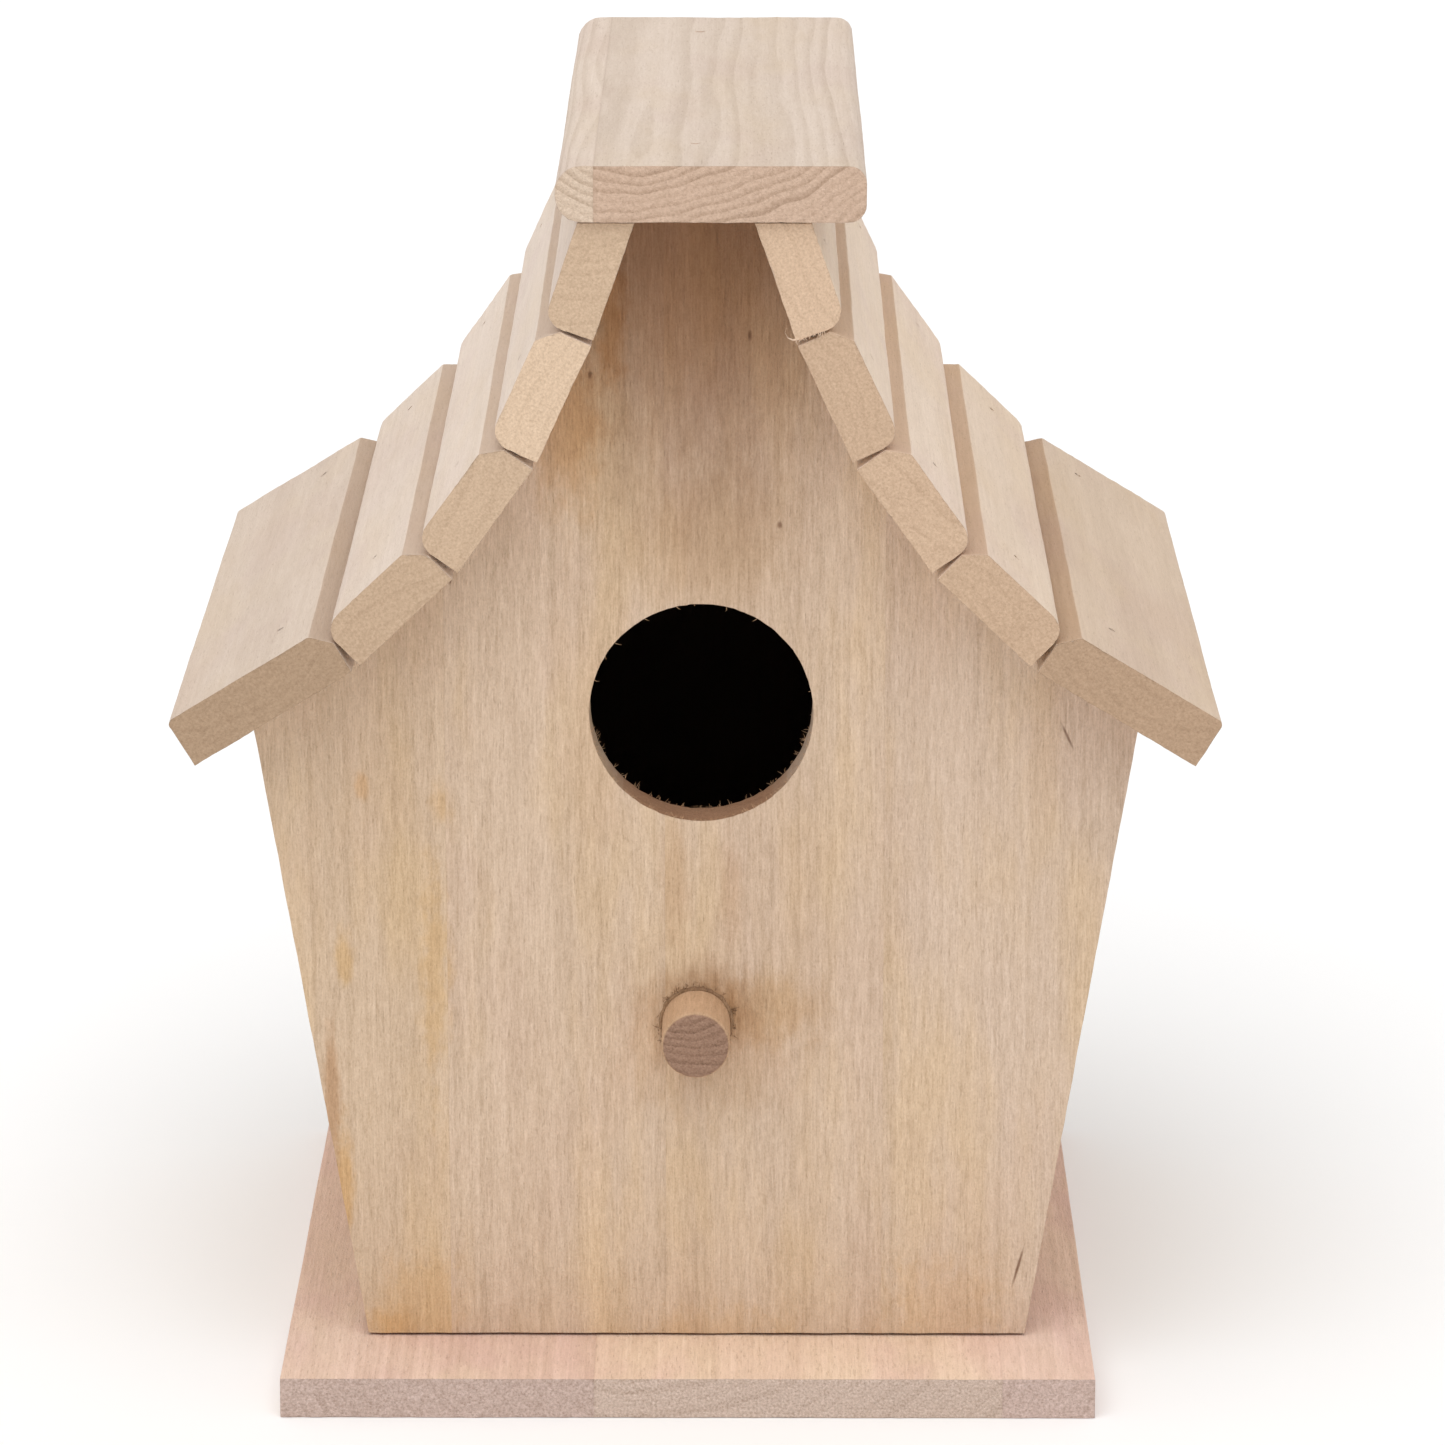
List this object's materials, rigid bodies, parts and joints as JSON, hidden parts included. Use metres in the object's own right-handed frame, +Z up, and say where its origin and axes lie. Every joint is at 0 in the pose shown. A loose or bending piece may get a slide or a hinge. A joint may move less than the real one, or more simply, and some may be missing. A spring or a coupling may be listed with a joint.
{
  "type": "birdhouse",
  "caption": "Small unfinished wooden birdhouse with a slatted inward-curving roof, flat ridge cap, round entrance, perch dowel, base board and a swivelling clean-out hatch.",
  "frame": {"origin": "middle of the underside of the whole object, on the surface that it stands on", "axes": "+Z up, -Y towards the front with the entrance hole, +X to the right seen from the front"},
  "size_m": [0.1768, 0.1578, 0.2175],
  "materials": {
    "panel_wood": "unfinished edge-glued softwood, vertical grain, warm tan",
    "wall_wood": "unfinished softwood, upright grain",
    "base_wood": "unfinished softwood, pinkish, grain front to back, speckled end grain",
    "left_slat_wood": "unfinished pale softwood, grain front to back, tan end grain",
    "right_slat_wood": "unfinished pale softwood, slightly yellower, tan end grain",
    "cap_wood": "unfinished edge-glued softwood, figured top, ringed end grain",
    "dowel_wood": "unfinished hardwood dowel, darker end grain",
    "hatch_wood": "unfinished softwood, upright grain",
    "nail_steel": "plain bright wire nail",
    "screw_steel": "zinc-plated slotted screw"
  },
  "bodies": {
    "house": {"base_board": "base_wood", "front_panel": "panel_wood", "back_panel": "wall_wood", "side_wall_left": "wall_wood", "side_wall_right": "wall_wood", "roof_slat_left_1": "left_slat_wood", "roof_slat_left_2": "left_slat_wood", "roof_slat_left_3": "left_slat_wood", "roof_slat_left_4": "left_slat_wood", "roof_slat_left_5": "left_slat_wood", "roof_slat_right_1": "right_slat_wood", "roof_slat_right_2": "right_slat_wood", "roof_slat_right_3": "right_slat_wood", "roof_slat_right_4": "right_slat_wood", "roof_slat_right_5": "right_slat_wood", "ridge_cap": "cap_wood", "perch_dowel": "dowel_wood", "hatch_pivot_screw": "screw_steel", "slat_nail_front_left_1": "nail_steel", "slat_nail_front_left_2": "nail_steel", "slat_nail_front_left_3": "nail_steel", "slat_nail_front_left_4": "nail_steel", "slat_nail_front_left_5": "nail_steel", "slat_nail_front_right_1": "nail_steel", "slat_nail_front_right_2": "nail_steel", "slat_nail_front_right_3": "nail_steel", "slat_nail_front_right_4": "nail_steel", "slat_nail_front_right_5": "nail_steel", "cap_nail_front": "nail_steel", "wall_nail_front_left_low": "nail_steel", "wall_nail_front_left_high": "nail_steel", "base_nail_front_left": "nail_steel", "wall_nail_front_right_low": "nail_steel", "wall_nail_front_right_high": "nail_steel", "base_nail_front_right": "nail_steel", "slat_nail_back_left_1": "nail_steel", "slat_nail_back_left_2": "nail_steel", "slat_nail_back_left_3": "nail_steel", "slat_nail_back_left_4": "nail_steel", "slat_nail_back_left_5": "nail_steel", "slat_nail_back_right_1": "nail_steel", "slat_nail_back_right_2": "nail_steel", "slat_nail_back_right_3": "nail_steel", "slat_nail_back_right_4": "nail_steel", "slat_nail_back_right_5": "nail_steel", "cap_nail_back": "nail_steel", "wall_nail_back_left_low": "nail_steel", "wall_nail_back_left_high": "nail_steel", "base_nail_back_left": "nail_steel", "wall_nail_back_right_low": "nail_steel", "wall_nail_back_right_high": "nail_steel", "base_nail_back_right": "nail_steel"},
    "hatch": {"clean_out_hatch": "hatch_wood"}
  },
  "joints": [
    {"name": "hatch_swivel", "type": "hinge", "parent": "house", "child": "hatch", "pos_m": [0, 0.06935, 0.078], "axis": [0, 1, 0], "continuous": true}
  ]
}
